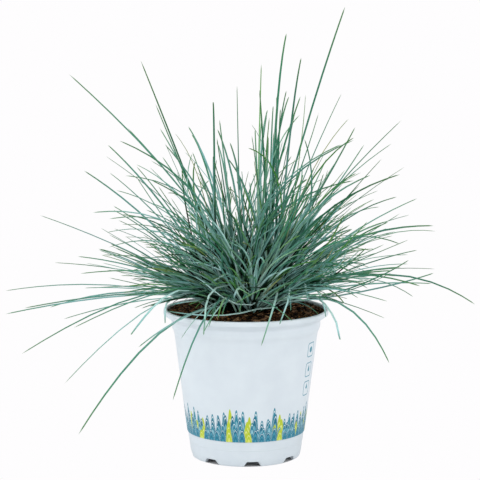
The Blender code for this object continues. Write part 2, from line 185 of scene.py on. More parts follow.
def linear(colour):
    """The scene's linear colour of an sRGB hex value."""
    channels = [int(colour[place:place + 2], 16) / 255 for place in (1, 3, 5)]
    return [c / 12.92 if c <= 0.04045 else ((c + 0.055) / 1.055) ** 2.4 for c in channels] + [1]


def add(finish, kind, inputs=(), stops=(), **settings):
    """Adds a node. inputs gives a socket its value or the output that feeds it, and stops are the
    places and colours of a ramp."""
    node = finish.node_tree.nodes.new("ShaderNode" + kind)
    for name, value in settings.items():
        setattr(node, name, value)
    for socket, value in dict(inputs).items():
        if isinstance(value, bpy.types.NodeSocket):
            finish.node_tree.links.new(value, node.inputs[socket])
        else:
            node.inputs[socket].default_value = value
    if stops:
        ramp = node.color_ramp.elements
        while len(ramp) < len(stops):
            ramp.new(0.5)
        for element, (place, colour) in zip(ramp, stops):
            element.position = place
            element.color = linear(colour)
    return node


def new_finish(name):
    finish = bpy.data.materials.new(name)
    finish.use_nodes = True
    return finish, finish.node_tree.nodes["Principled BSDF"]


def border_print(finish, angle, height):
    """The printed border above the step: rows of slender lancets in teal, pale teal and lime inks."""
    colour, ink = None, None
    rows = [  # lancets round the pot, turn in lancets, height, dark ink, pale ink, share of lime ones
        (62, 0.00, 27.0, "#1F8299", "#7DB4C4", 0.22),
        (54, 0.35, 22.0, "#0F6A84", "#5FA3B7", 0.14),
        (66, 0.50, 17.0, "#1A7F96", "#8CC0CE", 0.20),
        (58, 0.10, 11.0, "#13718B", "#3C93AB", 0.16),
    ]
    for lancets, turn, tall, dark, pale, share in rows:
        cell = add(finish, "Math", {0: angle, 1: lancets / math.tau, 2: turn},
                   operation="MULTIPLY_ADD").outputs[0]
        number = add(finish, "Math", {0: cell}, operation="FLOOR").outputs[0]
        across = add(finish, "Math", {0: cell, 1: 1.0}, operation="FLOORED_MODULO").outputs[0]
        across = add(finish, "Math", {0: across, 1: 2.0, 2: -1.0}, operation="MULTIPLY_ADD").outputs[0]
        chance = add(finish, "TexWhiteNoise", {"W": number}, noise_dimensions="1D").outputs["Value"]
        top = add(finish, "Math", {0: chance, 1: -0.4 * tall * MM, 2: tall * MM},
                  operation="MULTIPLY_ADD").outputs[0]
        up = add(finish, "Math", {0: height, 1: STEP_HEIGHT}, operation="SUBTRACT").outputs[0]
        up = add(finish, "Math", {0: up, 1: top}, operation="DIVIDE").outputs[0]
        up = add(finish, "Math", {0: up, 1: 1.4}, operation="POWER").outputs[0]
        out = add(finish, "Math", {0: across, 1: across}, operation="MULTIPLY").outputs[0]
        ring = add(finish, "Math", {0: out, 1: up}, operation="ADD").outputs[0]
        inside = add(finish, "Math", {0: ring, 1: 1.0}, operation="LESS_THAN").outputs[0]
        streaks = add(finish, "ValToRGB", {"Fac": ring},
                      [(0.0, pale), (0.12, dark), (0.34, pale), (0.55, dark), (0.82, "#D8E6EA"),
                       (0.88, dark)])
        streaks.color_ramp.interpolation = "CONSTANT"
        order = add(finish, "Math", {0: number, 1: 0.618}, operation="MULTIPLY").outputs[0]
        order = add(finish, "Math", {0: order, 1: 1.0}, operation="FLOORED_MODULO").outputs[0]
        lime = add(finish, "Math", {0: order, 1: share}, operation="LESS_THAN").outputs[0]
        other = add(finish, "ValToRGB", {"Fac": ring},
                    [(0.0, "#D5DC6E"), (0.2, "#B8C92C"), (0.5, "#DDE58F"), (0.62, "#B8C92C")])
        other.color_ramp.interpolation = "CONSTANT"
        mixed = add(finish, "Mix", {0: lime, 6: streaks.outputs[0], 7: other.outputs[0]},
                    data_type="RGBA").outputs[2]
        if colour:
            mixed = add(finish, "Mix", {0: inside, 6: colour, 7: mixed}, data_type="RGBA").outputs[2]
            inside = add(finish, "Math", {0: ink, 1: inside}, operation="MAXIMUM").outputs[0]
        colour, ink = mixed, inside
    above = add(finish, "Math", {0: height, 1: STEP_HEIGHT}, operation="GREATER_THAN").outputs[0]
    ink = add(finish, "Math", {0: ink, 1: above}, operation="MULTIPLY").outputs[0]
    return colour, ink


def care_signs(finish, angle, height):
    """Three plain care signs on the side of the pot: sun, water and height, each in a thin frame."""
    ink = None
    around = add(finish, "Math", {0: angle, 1: SIGN_TURN}, operation="SUBTRACT").outputs[0]
    around = add(finish, "Math", {0: around, 1: BODY_TOP_RADIUS}, operation="MULTIPLY").outputs[0]
    side = add(finish, "Math", {0: around}, operation="ABSOLUTE").outputs[0]
    for middle, disc, wedge in SIGNS:
        up = add(finish, "Math", {0: height, 1: middle}, operation="SUBTRACT").outputs[0]
        level = add(finish, "Math", {0: up}, operation="ABSOLUTE").outputs[0]
        past = [add(finish, "Math", {0: distance, 1: -SIGN_FLAT}, operation="ADD").outputs[0]
                for distance in (side, level)]
        past = [add(finish, "Math", {0: distance, 1: 0.0}, operation="MAXIMUM").outputs[0]
                for distance in past]
        corner = add(finish, "CombineXYZ", {0: past[0], 1: past[1]}).outputs[0]
        corner = add(finish, "VectorMath", {0: corner}, operation="LENGTH").outputs["Value"]
        lines = [add(finish, "Math", {0: corner, 1: SIGN_CORNER, 2: SIGN_LINE / 2},
                     operation="COMPARE").outputs[0]]
        spot = add(finish, "CombineXYZ", {0: around, 1: up}).outputs[0]
        spot = add(finish, "VectorMath", {0: spot}, operation="LENGTH").outputs["Value"]
        lines.append(add(finish, "Math", {0: spot, 1: disc}, operation="LESS_THAN").outputs[0])
        slope = add(finish, "Math", {0: side, 1: 2.0, 2: up}, operation="MULTIPLY_ADD").outputs[0]
        slope = add(finish, "Math", {0: slope, 1: wedge}, operation="LESS_THAN").outputs[0]
        upper = add(finish, "Math", {0: up, 1: 0.0}, operation="GREATER_THAN").outputs[0]
        lines.append(add(finish, "Math", {0: slope, 1: upper}, operation="MULTIPLY").outputs[0])
        for line in lines:
            ink = add(finish, "Math", {0: ink or line, 1: line}, operation="MAXIMUM").outputs[0]
    return ink


def moulded_polypropylene():
    """White polypropylene, injection moulded: satin, with a faint flow pattern and a fine grain
    that breaks up the highlights."""
    finish, shader = new_finish("white moulded polypropylene")
    place = add(finish, "TexCoord").outputs["Object"]
    split = add(finish, "SeparateXYZ", {0: place})
    forward = add(finish, "Math", {0: split.outputs["Y"], 1: -1.0}, operation="MULTIPLY").outputs[0]
    angle = add(finish, "Math", {0: split.outputs["X"], 1: forward}, operation="ARCTAN2").outputs[0]
    flow = add(finish, "TexNoise", {"Vector": place, "Scale": 60.0, "Detail": 3.0})
    plastic = add(finish, "ValToRGB", {"Fac": flow.outputs[0]}, [(0.3, "#D5DEE5"), (0.7, "#DBE4EA")])
    colour, ink = border_print(finish, angle, split.outputs["Z"])
    printed = add(finish, "Mix", {0: ink, 6: plastic.outputs[0], 7: colour}, data_type="RGBA")
    signs = care_signs(finish, angle, split.outputs["Z"])
    printed = add(finish, "Mix", {0: signs, 6: printed.outputs[2], 7: linear("#3F8EA3")},
                  data_type="RGBA")
    finish.node_tree.links.new(printed.outputs[2], shader.inputs["Base Color"])
    rough = add(finish, "MapRange", {0: flow.outputs[0], 3: 0.36, 4: 0.46})
    finish.node_tree.links.new(rough.outputs[0], shader.inputs["Roughness"])
    grain = add(finish, "TexNoise", {"Vector": place, "Scale": 1 / (0.6 * MM), "Detail": 2.0})
    bump = add(finish, "Bump", {"Height": grain.outputs[0], "Strength": 0.12, "Distance": 0.05 * MM})
    finish.node_tree.links.new(bump.outputs[0], shader.inputs["Normal"])
    shader.inputs["IOR"].default_value = 1.49
    return finish


pot = made_piece("nursery_pot", turned(half_section_of_pot(), POT_STEPS), moulded_polypropylene(),
                 "pot")
cut_drains(pot)

# Potting soil.
# Moist peat, pressed in level with the rim and domed a little under the plant. Its top is broken
# into lumps and crumbs, with orange-brown bark chips and a few pale slivers of wood mixed in.

SOIL_EDGE_HEIGHT = 115.0 * MM
SOIL_CROWN_HEIGHT = 118.4 * MM
SOIL_RADIUS = MOUTH_RADIUS - 0.3 * MM
CLUMP_RADIUS = 30.0 * MM
PEAT_RINGS = 56
PEAT_STEPS = 168


def soil_height(x, y):
    """Top of the peat: a low dome, lumpy outside the ground that the tussock covers."""
    radius = math.hypot(x, y)
    dome = SOIL_EDGE_HEIGHT
    dome += (SOIL_CROWN_HEIGHT - SOIL_EDGE_HEIGHT) * (1 - (radius / SOIL_RADIUS) ** 2)
    open_ground = min(max((radius - CLUMP_RADIUS - 4 * MM) / (8 * MM), 0), 1)
    return dome + 1.5 * MM * open_ground * noise.noise(Vector((x, y, 0)) / (9 * MM))


def peat_bed():
    """The root ball: turned, then its top broken into lumps of three sizes."""
    inset = WALL + 0.5 * MM
    rings = [SOIL_RADIUS * ring / PEAT_RINGS for ring in range(PEAT_RINGS + 1)]
    section = [(radius, SOIL_EDGE_HEIGHT + 1 * MM, 0) for radius in rings] + [
        (SOIL_RADIUS, SHOULDER + 0.3 * MM, 0),
        (COLLAR_RADIUS - inset, COLLAR_TOP, 0),
        (COLLAR_FOOT_RADIUS - inset, COLLAR_FOOT, 0),
        (BODY_TOP_RADIUS - inset, BODY_TOP, 0),
        (FOOT_RADIUS - 2.4 * MM, POT_FLOOR + WALL + 0.3 * MM, 0),
        (0, POT_FLOOR + WALL + 0.3 * MM, 0),
    ]
    bm = turned(section, PEAT_STEPS)
    for vert in bm.verts:
        if vert.co.z > SOIL_EDGE_HEIGHT:
            x, y = vert.co.x, vert.co.y
            crumbs = noise.noise(Vector((x, y, 3 * MM)) / (3.1 * MM)) * 0.7 * MM
            grains = noise.noise(Vector((x, y, 5 * MM)) / (1.3 * MM)) * 0.45 * MM
            edge = min((SOIL_RADIUS - math.hypot(x, y)) / (2 * MM), 1)
            vert.co.z = soil_height(x, y) + (crumbs + grains) * edge
    return bm


def moist_peat():
    """Moist peat: nearly black in its pores, dark brown on its lumps, with tan fibres; dull."""
    finish, shader = new_finish("moist peat")
    place = add(finish, "TexCoord").outputs["Object"]
    lumps = add(finish, "TexNoise", {"Vector": place, "Scale": 1 / (4 * MM), "Detail": 6.0,
                                     "Roughness": 0.65})
    brown = add(finish, "ValToRGB", {"Fac": lumps.outputs[0]},
                [(0.40, "#030201"), (0.49, "#1C1008"), (0.57, "#543720"), (0.68, "#A87844")])
    fibres = add(finish, "TexNoise", {"Vector": place, "Scale": 1 / (1.2 * MM), "Detail": 3.0,
                                      "Distortion": 1.5})
    stray = add(finish, "ValToRGB", {"Fac": fibres.outputs[0]}, [(0.62, "#000000"), (0.68, "#FFFFFF")])
    colour = add(finish, "Mix", {0: stray.outputs[0], 6: brown.outputs[0], 7: linear("#8A6A4C")},
                 data_type="RGBA")
    finish.node_tree.links.new(colour.outputs[2], shader.inputs["Base Color"])
    bump = add(finish, "Bump", {"Height": fibres.outputs[0], "Strength": 0.6, "Distance": 0.4 * MM})
    finish.node_tree.links.new(bump.outputs[0], shader.inputs["Normal"])
    shader.inputs["Roughness"].default_value = 0.9
    shader.inputs["Specular IOR Level"].default_value = 0.1
    return finish


peat = moist_peat()
made_piece("peat_bed", peat_bed(), peat, "potting_soil")


def crumb():
    bm = bmesh.new()
    bmesh.ops.create_icosphere(bm, subdivisions=1, radius=0.5)
    return bm


def chip():
    """A split of bark or wood: a flat block, its grain along X, its ends drawn in."""
    bm = bmesh.new()
    bmesh.ops.create_cube(bm, size=1)
    along = [edge for edge in bm.edges if abs(edge.verts[0].co.x - edge.verts[1].co.x) > 0.5]
    bmesh.ops.subdivide_edges(bm, edges=along, cuts=3, use_grid_fill=True)
    for vert in bm.verts:
        drawn_in = 1 - 1.8 * vert.co.x ** 2
        vert.co.y *= drawn_in
        vert.co.z *= drawn_in
    return bm


def scattered(rng, count, shape, size, inner, rough):
    """Loose bits on the peat outside a radius, each a rough copy of a small shape."""
    pattern = bpy.data.meshes.new("loose bit")
    small = shape()
    small.to_mesh(pattern)
    small.free()
    bm = bmesh.new()
    for number in range(count):
        length, breadth, depth = (rng.uniform(*limits) * MM for limits in size)
        radius = rng.uniform(inner ** 2, (SOIL_RADIUS - 0.6 * length) ** 2) ** 0.5
        angle = rng.uniform(0, math.tau)
        x, y = radius * math.cos(angle), radius * math.sin(angle)
        place = Matrix.Translation((x, y, soil_height(x, y) + 0.25 * depth))
        place = place @ Matrix.Rotation(rng.uniform(0, math.tau), 4, "Z")
        place = place @ Matrix.Rotation(rng.gauss(0, 0.35), 4, "X")
        place = place @ Matrix.Rotation(rng.gauss(0, 0.3), 4, "Y")
        first = len(bm.verts)
        bm.from_mesh(pattern)
        bm.verts.ensure_lookup_table()
        for vert in bm.verts[first:]:
            dent = noise.noise_vector(vert.co * 1.4 + Vector((number, 0, 0))) * rough
            bit = vert.co + dent
            vert.co = place @ Vector((bit.x * length, bit.y * breadth, bit.z * depth))
    bpy.data.meshes.remove(pattern)
    return bm


def bark(name, low, high):
    """Composted bark or split wood: its grain runs in fine streaks along the chip."""
    finish, shader = new_finish(name)
    place = add(finish, "TexCoord").outputs["Object"]
    grain = add(finish, "TexNoise", {"Vector": place, "Scale": 1 / (0.8 * MM), "Detail": 4.0,
                                     "Distortion": 0.8})
    colour = add(finish, "ValToRGB", {"Fac": grain.outputs[0]}, [(0.35, low), (0.65, high)])
    finish.node_tree.links.new(colour.outputs[0], shader.inputs["Base Color"])
    bump = add(finish, "Bump", {"Height": grain.outputs[0], "Strength": 0.5, "Distance": 0.2 * MM})
    finish.node_tree.links.new(bump.outputs[0], shader.inputs["Normal"])
    shader.inputs["Roughness"].default_value = 0.8
    return finish


rng = random.Random(11)
made_piece("peat_crumbs", scattered(rng, 1500, crumb, ((0.8, 3.2), (0.7, 2.4), (0.6, 1.8)), 0, 0.35),
           peat)
made_piece("bark_chips", scattered(rng, 90, chip, ((3.0, 8.0), (1.4, 3.2), (0.6, 1.4)), 24 * MM, 0.25),
           bark("composted bark", "#3C2617", "#85603C"))
made_piece("wood_slivers", scattered(rng, 46, chip, ((3.5, 9.0), (0.5, 1.1), (0.4, 0.8)), 24 * MM, 0.2),
           bark("split wood slivers", "#8D6A45", "#C9A97C"))

# Tussock.
# Blue fescue: a dense clump of shoots, each a pale sheath out of which a few stiff leaves grow. A
# leaf is folded along its midrib into a keeled needle about a millimetre wide, blue-green under a
# waxy bloom that rubs off. Each tuft follows the leaves of its solid and fills out the bunch.

LEAF_LEVELS = 9
LEVEL_SHARES = [1 - (1 - level / LEAF_LEVELS) ** 1.7 for level in range(LEAF_LEVELS + 1)]
SHOOTS = 5
LEAVES_PER_SHOOT = 3
SHOOT_SPREAD = 3.4 * MM
UP = Vector((0, 0, 1))
CAD_LEAD_STEPS = 5
CAD_SIDE_STEPS = 3
CAD_LEAF_START = 4.0 * MM


def straight_leaf():
    """A leaf drawn straight up and 1 wide, one level a unit: the keel behind, the groove in front."""
    slenderness = [1 - 0.5 * share ** 4 for share in LEVEL_SHARES]
    bm = bmesh.new()
    across = bm.verts.layers.float.new("across")
    along = bm.verts.layers.float.new("along")
    bm.verts.layers.float.new("tone")
    bm.verts.layers.float.new("wax_and_light")
    strip = bm.loops.layers.uv.new("OFBake")
    ring = bmesh.ops.create_circle(bm, cap_ends=True, segments=6, radius=0.5)["verts"]
    bmesh.ops.scale(bm, vec=(1.15, 0.7, 1), verts=ring)
    groove = max(ring, key=lambda vert: vert.co.y)
    groove.co.y *= 0.1
    for vert in ring:
        vert[across] = abs(math.atan2(vert.co.x, -vert.co.y)) / math.pi
    groove[across] = 1
    cap = bm.faces[:]
    for level in range(1, LEAF_LEVELS + 1):
        taper = slenderness[level] / slenderness[level - 1]
        grown = bmesh.ops.extrude_face_region(bm, geom=cap)["geom"]
        cap = [item for item in grown if isinstance(item, bmesh.types.BMFace)]
        ring = [item for item in grown if isinstance(item, bmesh.types.BMVert)]
        bmesh.ops.translate(bm, vec=UP, verts=ring)
        bmesh.ops.scale(bm, vec=(taper, taper, 1), verts=ring)
        for vert in ring:
            vert[along] = LEVEL_SHARES[level]
    bmesh.ops.pointmerge(bm, verts=ring, merge_co=(0, 0, LEAF_LEVELS))
    bmesh.ops.recalc_face_normals(bm, faces=bm.faces)
    for face in bm.faces:
        middle = face.calc_center_median()
        for loop in face.loops:
            turn = math.atan2(loop.vert.co.x, -loop.vert.co.y) / math.tau
            if abs(turn) > 0.49 or loop.vert.co.xy.length < 0.001:
                turn = math.copysign(0.5, middle.x)
            loop[strip].uv = (0.5 + turn, loop.vert[along])
    mesh = bpy.data.meshes.new("straight leaf")
    bm.to_mesh(mesh)
    bm.free()
    return mesh


def arc(start, bend, tip):
    """Points along a leaf that sets out for its bend and arches over to its tip."""
    return [start * (1 - t) ** 2 + bend * 2 * t * (1 - t) + tip * t ** 2 for t in LEVEL_SHARES]


def through(points):
    """Points along a leaf whose course goes smoothly through these places, given in millimetres."""
    places = [Vector(point) * MM for point in points]
    places = [places[0] * 2 - places[1]] + places + [places[-1] * 2 - places[-2]]
    path = []
    for share in LEVEL_SHARES:
        span = min(share * (len(points) - 1), len(points) - 1.001)
        a, b, c, d = places[int(span):int(span) + 4]
        t = span % 1
        path.append(b + (c - a) * t / 2 + (a * 2 - b * 5 + c * 4 - d) * t ** 2 / 2
                    + (b * 3 - a - c * 3 + d) * t ** 3 / 2)
    return path


def add_leaf(bm, path, width, roll, tone, wax_and_light, cell, cells):
    """Bends a copy of the straight leaf along a path. The groove faces up and in, before its roll."""
    verts, faces = len(bm.verts), len(bm.faces)
    bm.from_mesh(leaf_pattern)
    tones = bm.verts.layers.float["tone"]
    wax_and_light_layers = bm.verts.layers.float["wax_and_light"]
    strip = bm.loops.layers.uv["OFBake"]
    bm.verts.ensure_lookup_table()
    bm.faces.ensure_lookup_table()
    outward = path[-1] - path[0]
    outward.z = 0
    side = outward.normalized().cross(UP)
    frames = []
    for level in range(LEAF_LEVELS + 1):
        heading = (path[min(level + 1, LEAF_LEVELS)] - path[max(level - 1, 0)]).normalized()
        side = (side - heading * side.dot(heading)).normalized()
        turn = Matrix.Rotation(roll * (0.4 + 0.6 * LEVEL_SHARES[level]), 3, heading)
        frames.append((turn @ side, turn @ side.cross(heading)))
    for vert in bm.verts[verts:]:
        level = round(vert.co.z)
        across, front = frames[level]
        vert.co = path[level] + (across * vert.co.x + front * vert.co.y) * width
        vert[tones] = tone
        vert[wax_and_light_layers] = wax_and_light
    for face in bm.faces[faces:]:
        for loop in face.loops:
            loop[strip].uv.x = (loop[strip].uv.x * 0.9 + cell) / cells


def solid_leaves(node):
    """The foot of a tuft's solid, and start, bend and tip of its leaves' arcs, the lead leaf first."""
    bm = bmesh.new()
    bm.from_mesh(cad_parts[node].data)
    bmesh.ops.remove_doubles(bm, verts=bm.verts, dist=0.002 * MM)
    bm.normal_update()
    under = [face for face in bm.faces if face.normal.z < -0.99
             and all(vert.co.xy.length < CLUMP_RADIUS + 3 * MM for vert in face.verts)
             and all(vert.co.z < SOIL_CROWN_HEIGHT + 0.5 * MM for vert in face.verts)]
    foot = sum((face.calc_center_median() * face.calc_area() for face in under), Vector())
    foot /= sum(face.calc_area() for face in under)
    start = foot + UP * CAD_LEAF_START
    leaves = []
    for face in bm.faces:
        tip = face.calc_center_median()
        if face.calc_area() < 0.08 * MM ** 2 and (tip - foot).length > 30 * MM:
            end = set(face.verts)
            neck = {edge.other_vert(vert) for vert in end for edge in vert.link_edges} - end
            leaves.append((tip, sum((vert.co for vert in neck), Vector()) / len(neck)))
    bm.free()
    leaves.sort(key=lambda leaf: (leaf[0] - foot).length, reverse=True)
    arcs = []
    for number, (tip, neck) in enumerate(leaves):
        t = 1 - 1 / (CAD_SIDE_STEPS if number else CAD_LEAD_STEPS)
        bend = (neck - start * (1 - t) ** 2 - tip * t ** 2) / (2 * t * (1 - t))
        arcs.append((start, bend, tip))
    return foot, arcs


def clears_pot(path, rise):
    """True if a leaf stays above the rim and the peat until it is outside the pot, and has risen this
    much by the time that it leaves the ground of the tussock."""
    for here, there in zip(path, path[1:]):
        for step in range(4):
            point = here.lerp(there, step / 4)
            radius = math.hypot(point.x, point.y)
            risen = rise * min(max((radius - CLUMP_RADIUS) / (14 * MM), 0), 1)
            if radius < RIM_RADIUS + 1 * MM and point.z < POT_HEIGHT + 1.2 * MM + risen:
                return False
    return True


def kindred(rng, start, lead):
    """The course of a shorter leaf of the same bunch. It sets out as the lead does, turned aside. The
    shorter it is, the less it droops, and beside a lead that hangs over the rim it stands up."""
    origin, bend, tip = lead
    across = Vector((tip.y - origin.y, origin.x - tip.x, 0)).normalized()
    hangs = tip.z < POT_HEIGHT + 10 * MM
    raised = 0.45 if hangs else 0.02
    longest = 0.95 if tip.x > 50 * MM else 0.82 if tip.x > -60 * MM else 0.68
    while True:
        length = rng.triangular(0.3, longest, 0.55)
        ended = origin * (1 - length) ** 2 + bend * 2 * length * (1 - length) + tip * length ** 2
        droop = rng.uniform(0.1, 0.4) if hangs else rng.uniform(0.2, 1.0)
        reach = (ended - origin).lerp((tip - origin) * length, droop)
        aside = reach.cross(across)
        turn = Matrix.Rotation(rng.gauss(0, 0.28), 3, aside)
        turn = turn @ Matrix.Rotation(rng.gauss(raised, 0.18), 3, across)
        sway = Matrix.Rotation(rng.gauss(0, 0.24), 3, aside)
        away = turn @ (bend - origin) * length * rng.uniform(0.85, 1.15)
        path = arc(start, start + away, start + sway @ turn @ reach)
        if clears_pot(path[1:], 10 * MM):
            return path
        raised += 0.02


def shifted(arcs, tip):
    """The lead's arc, turned and stretched so that it ends at another tip."""
    start, bend, lead_tip = arcs[0]
    turn = (lead_tip - start).rotation_difference(tip - start).to_matrix()
    stretch = (tip - start).length / (lead_tip - start).length
    return arc(start, start + turn @ (bend - start) * stretch, tip)


def tuft(rng, foot, arcs, others):
    """One bunch: the solid's own leaves, others that were seen to grow here, shorter kin out of every
    shoot, and round the foot the short sheaths that they grow out of."""
    leaves = []
    lead_tip = arcs[0][2]
    thin = lead_tip.x < -60 * MM and lead_tip.z > 150 * MM
    for number, (start, bend, tip) in enumerate(arcs):
        stoutness = min(max(((tip - start).length / MM - 90) / 150, 0), 1)
        width = (1.15 if number else 1.4) + 0.65 * stoutness ** 2 + rng.uniform(-0.1, 0.1)
        # A leaf's wax value sets its bloom, and also how far it is kept out of the painted shade in the
        # middle of the tussock and how much painted light whitens it low down. Leads ending lower get more
        # of it, and leaves hanging over the rim near the pot get the most.
        tone, wax_and_light = rng.uniform(0.1, 0.7), rng.uniform(0.0, 0.4)
        if tip.z < 270 * MM:
            wax_and_light = 0.15 + 1.5 * wax_and_light
        if tip.z < POT_HEIGHT and tip.xy.length < 100 * MM:
            tone, wax_and_light = 0.74, 1.1
        leaves.append((arc(start, bend, tip), width, rng.gauss(0, 0.5), tone, wax_and_light))
    for path, wax_and_light in others:
        leaves.append((path, rng.uniform(1.4, 1.7), rng.gauss(0, 0.5), rng.uniform(0.35, 0.75), wax_and_light))
    for shoot in range(SHOOTS):
        angle = math.tau * (shoot + rng.uniform(-0.3, 0.3)) / SHOOTS
        spread = SHOOT_SPREAD * rng.uniform(0.75, 1.0)
        place = foot + Vector((math.cos(angle), math.sin(angle), 0)) * spread
        place.z = soil_height(place.x, place.y) - 0.5 * MM
        lean = (UP * 0.08 + arcs[0][1] - arcs[0][0]).normalized()
        tall = rng.uniform(5, 11) * MM
        sheath = arc(place, place + UP * tall * 0.6, place + (lean + UP).normalized() * tall)
        leaves.append((sheath, rng.uniform(1.6, 2.1), 0, 1, 0))
        for leaf in range(LEAVES_PER_SHOOT - (1 if thin else 0)):
            start = place + lean * tall * rng.uniform(0.1, 0.5)
            path = kindred(rng, start, arcs[0] if rng.random() < 0.7 else rng.choice(arcs))
            width, tone, wax_and_light = rng.uniform(0.95, 1.4), rng.random() * 0.97, rng.random() ** 1.1
            leaves.append((path, width, rng.gauss(0, 0.7), tone, wax_and_light))
    bm = bmesh.new()
    for cell, (path, width, roll, tone, wax_and_light) in enumerate(leaves):
        add_leaf(bm, path, width * MM, roll, tone, wax_and_light, cell, len(leaves))
    return bm


def fescue_leaf():
    """A living leaf under a waxy bloom: blue-grey where the bloom is whole, green where it has rubbed off,
    straw-coloured in the sheath. The ribs are 0.2 mm apart and the waxy bloom dulls the gloss. Painted
    shade darkens the leaves near the middle of the tussock to near black green, and the grooves between
    the ribs a little. Low on waxy leaves the colour is whitened: partly the whole bloom, partly painted
    light."""
    finish, shader = new_finish("glaucous fescue leaf")
    place = add(finish, "TexCoord").outputs["Object"]
    along = add(finish, "Attribute", attribute_name="along").outputs["Fac"]
    across = add(finish, "Attribute", attribute_name="across").outputs["Fac"]
    tone = add(finish, "Attribute", attribute_name="tone").outputs["Fac"]
    wax_and_light = add(finish, "Attribute", attribute_name="wax_and_light").outputs["Fac"]
    bare = add(finish, "ValToRGB", {"Fac": tone},
               [(0.0, "#205C3A"), (0.35, "#307656"), (0.65, "#428A6E"), (0.80, "#3C7C3C"),
                (0.92, "#549632"), (0.97, "#A09A58"), (1.0, "#6A6B42")])
    bloomed = add(finish, "ValToRGB", {"Fac": tone},
                  [(0.0, "#76B8C0"), (0.35, "#8ACAD0"), (0.65, "#B8E6EA"), (0.80, "#8ECAAC"),
                   (0.92, "#74B45C"), (0.97, "#A8B77C"), (1.0, "#80845A")])
    patches = add(finish, "TexNoise", {"Vector": place, "Scale": 1 / (14 * MM), "Detail": 4.0})
    patches = add(finish, "MapRange", {0: patches.outputs[0], 1: 0.30, 2: 0.60, 3: 0.7, 4: 1.0})
    kept = add(finish, "MapRange", {0: wax_and_light, 1: 0.15, 2: 0.7, 3: 0.1, 4: 1.0}).outputs[0]
    outer = add(finish, "MapRange", {0: along, 1: 0.3, 2: 0.65}).outputs[0]
    spared = add(finish, "Math", {0: wax_and_light, 1: 1.3, 2: -1.25}, operation="MULTIPLY_ADD").outputs[0]
    worn = add(finish, "Math", {0: outer, 1: spared, 2: 1.0}, operation="MULTIPLY_ADD").outputs[0]
    worn = add(finish, "Math", {0: worn, 1: kept}, operation="MULTIPLY").outputs[0]
    bloom = add(finish, "Math", {0: patches.outputs[0], 1: worn}, operation="MULTIPLY",
                use_clamp=True).outputs[0]
    # Partly painted light: low on the leaf, waxy leaves are whitened towards #CCEEE8. Part of it is the
    # whole bloom where nothing rubs it, and part is painted light that makes up for the shade of the leaves
    # above.
    low = add(finish, "MapRange", {0: along, 1: 0.35, 2: 0.9, 3: 1.0, 4: 0.0}).outputs[0]
    whole = add(finish, "Math", {0: low, 1: wax_and_light}, operation="MULTIPLY", use_clamp=True).outputs[0]
    wax_white_and_painted_light = add(finish, "Mix", {0: whole, 6: bloomed.outputs[0], 7: linear("#CCEEE8")},
                    data_type="RGBA")
    leaf = add(finish, "Mix", {0: bloom, 6: bare.outputs[0], 7: wax_white_and_painted_light.outputs[2]},
               data_type="RGBA")
    dry = add(finish, "MapRange", {0: along, 1: 0.74, 2: 1.0, 3: 0.0, 4: 0.8}).outputs[0]
    leaf = add(finish, "Mix", {0: dry, 6: leaf.outputs[2], 7: linear("#5A844A")}, data_type="RGBA")
    # Painted shade: leaves near the middle of the tussock are darkened towards near black green (#061C08),
    # and a leaf's wax value moves it out of this painted shade.
    middle = add(finish, "VectorMath", {0: place, 1: (0, 0, SOIL_CROWN_HEIGHT)}, operation="SUBTRACT")
    middle = add(finish, "VectorMath", {0: middle.outputs[0], 1: (1, 1, 0.85)}, operation="MULTIPLY")
    depth = add(finish, "VectorMath", {0: middle.outputs[0]}, operation="LENGTH").outputs["Value"]
    depth = add(finish, "Math", {0: wax_and_light, 1: 140 * MM, 2: depth}, operation="MULTIPLY_ADD").outputs[0]
    out_of_painted_shade = add(finish, "MapRange", {0: depth, 1: 80 * MM, 2: 105 * MM}).outputs[0]
    leaf = add(finish, "Mix", {0: out_of_painted_shade, 6: linear("#061C08"), 7: leaf.outputs[2]}, data_type="RGBA")
    # Painted shade: the colour darkens by up to 15 per cent in the grooves between the ribs, which the bump
    # also draws.
    ribs = add(finish, "Math", {0: across, 1: 6 * math.pi}, operation="MULTIPLY").outputs[0]
    ribs = add(finish, "Math", {0: ribs}, operation="COSINE").outputs[0]
    shade = add(finish, "MapRange", {0: ribs, 1: -1.0, 2: 1.0, 3: 0.85, 4: 1.0}).outputs[0]
    leaf = add(finish, "Mix", {0: 1.0, 6: leaf.outputs[2], 7: shade}, data_type="RGBA",
               blend_type="MULTIPLY")
    finish.node_tree.links.new(leaf.outputs[2], shader.inputs["Base Color"])
    rough = add(finish, "MapRange", {0: bloom, 3: 0.38, 4: 0.58})
    finish.node_tree.links.new(rough.outputs[0], shader.inputs["Roughness"])
    bump = add(finish, "Bump", {"Height": ribs, "Strength": 0.25, "Distance": 0.05 * MM})
    finish.node_tree.links.new(bump.outputs[0], shader.inputs["Normal"])
    shader.inputs["Specular IOR Level"].default_value = 0.12
    return finish


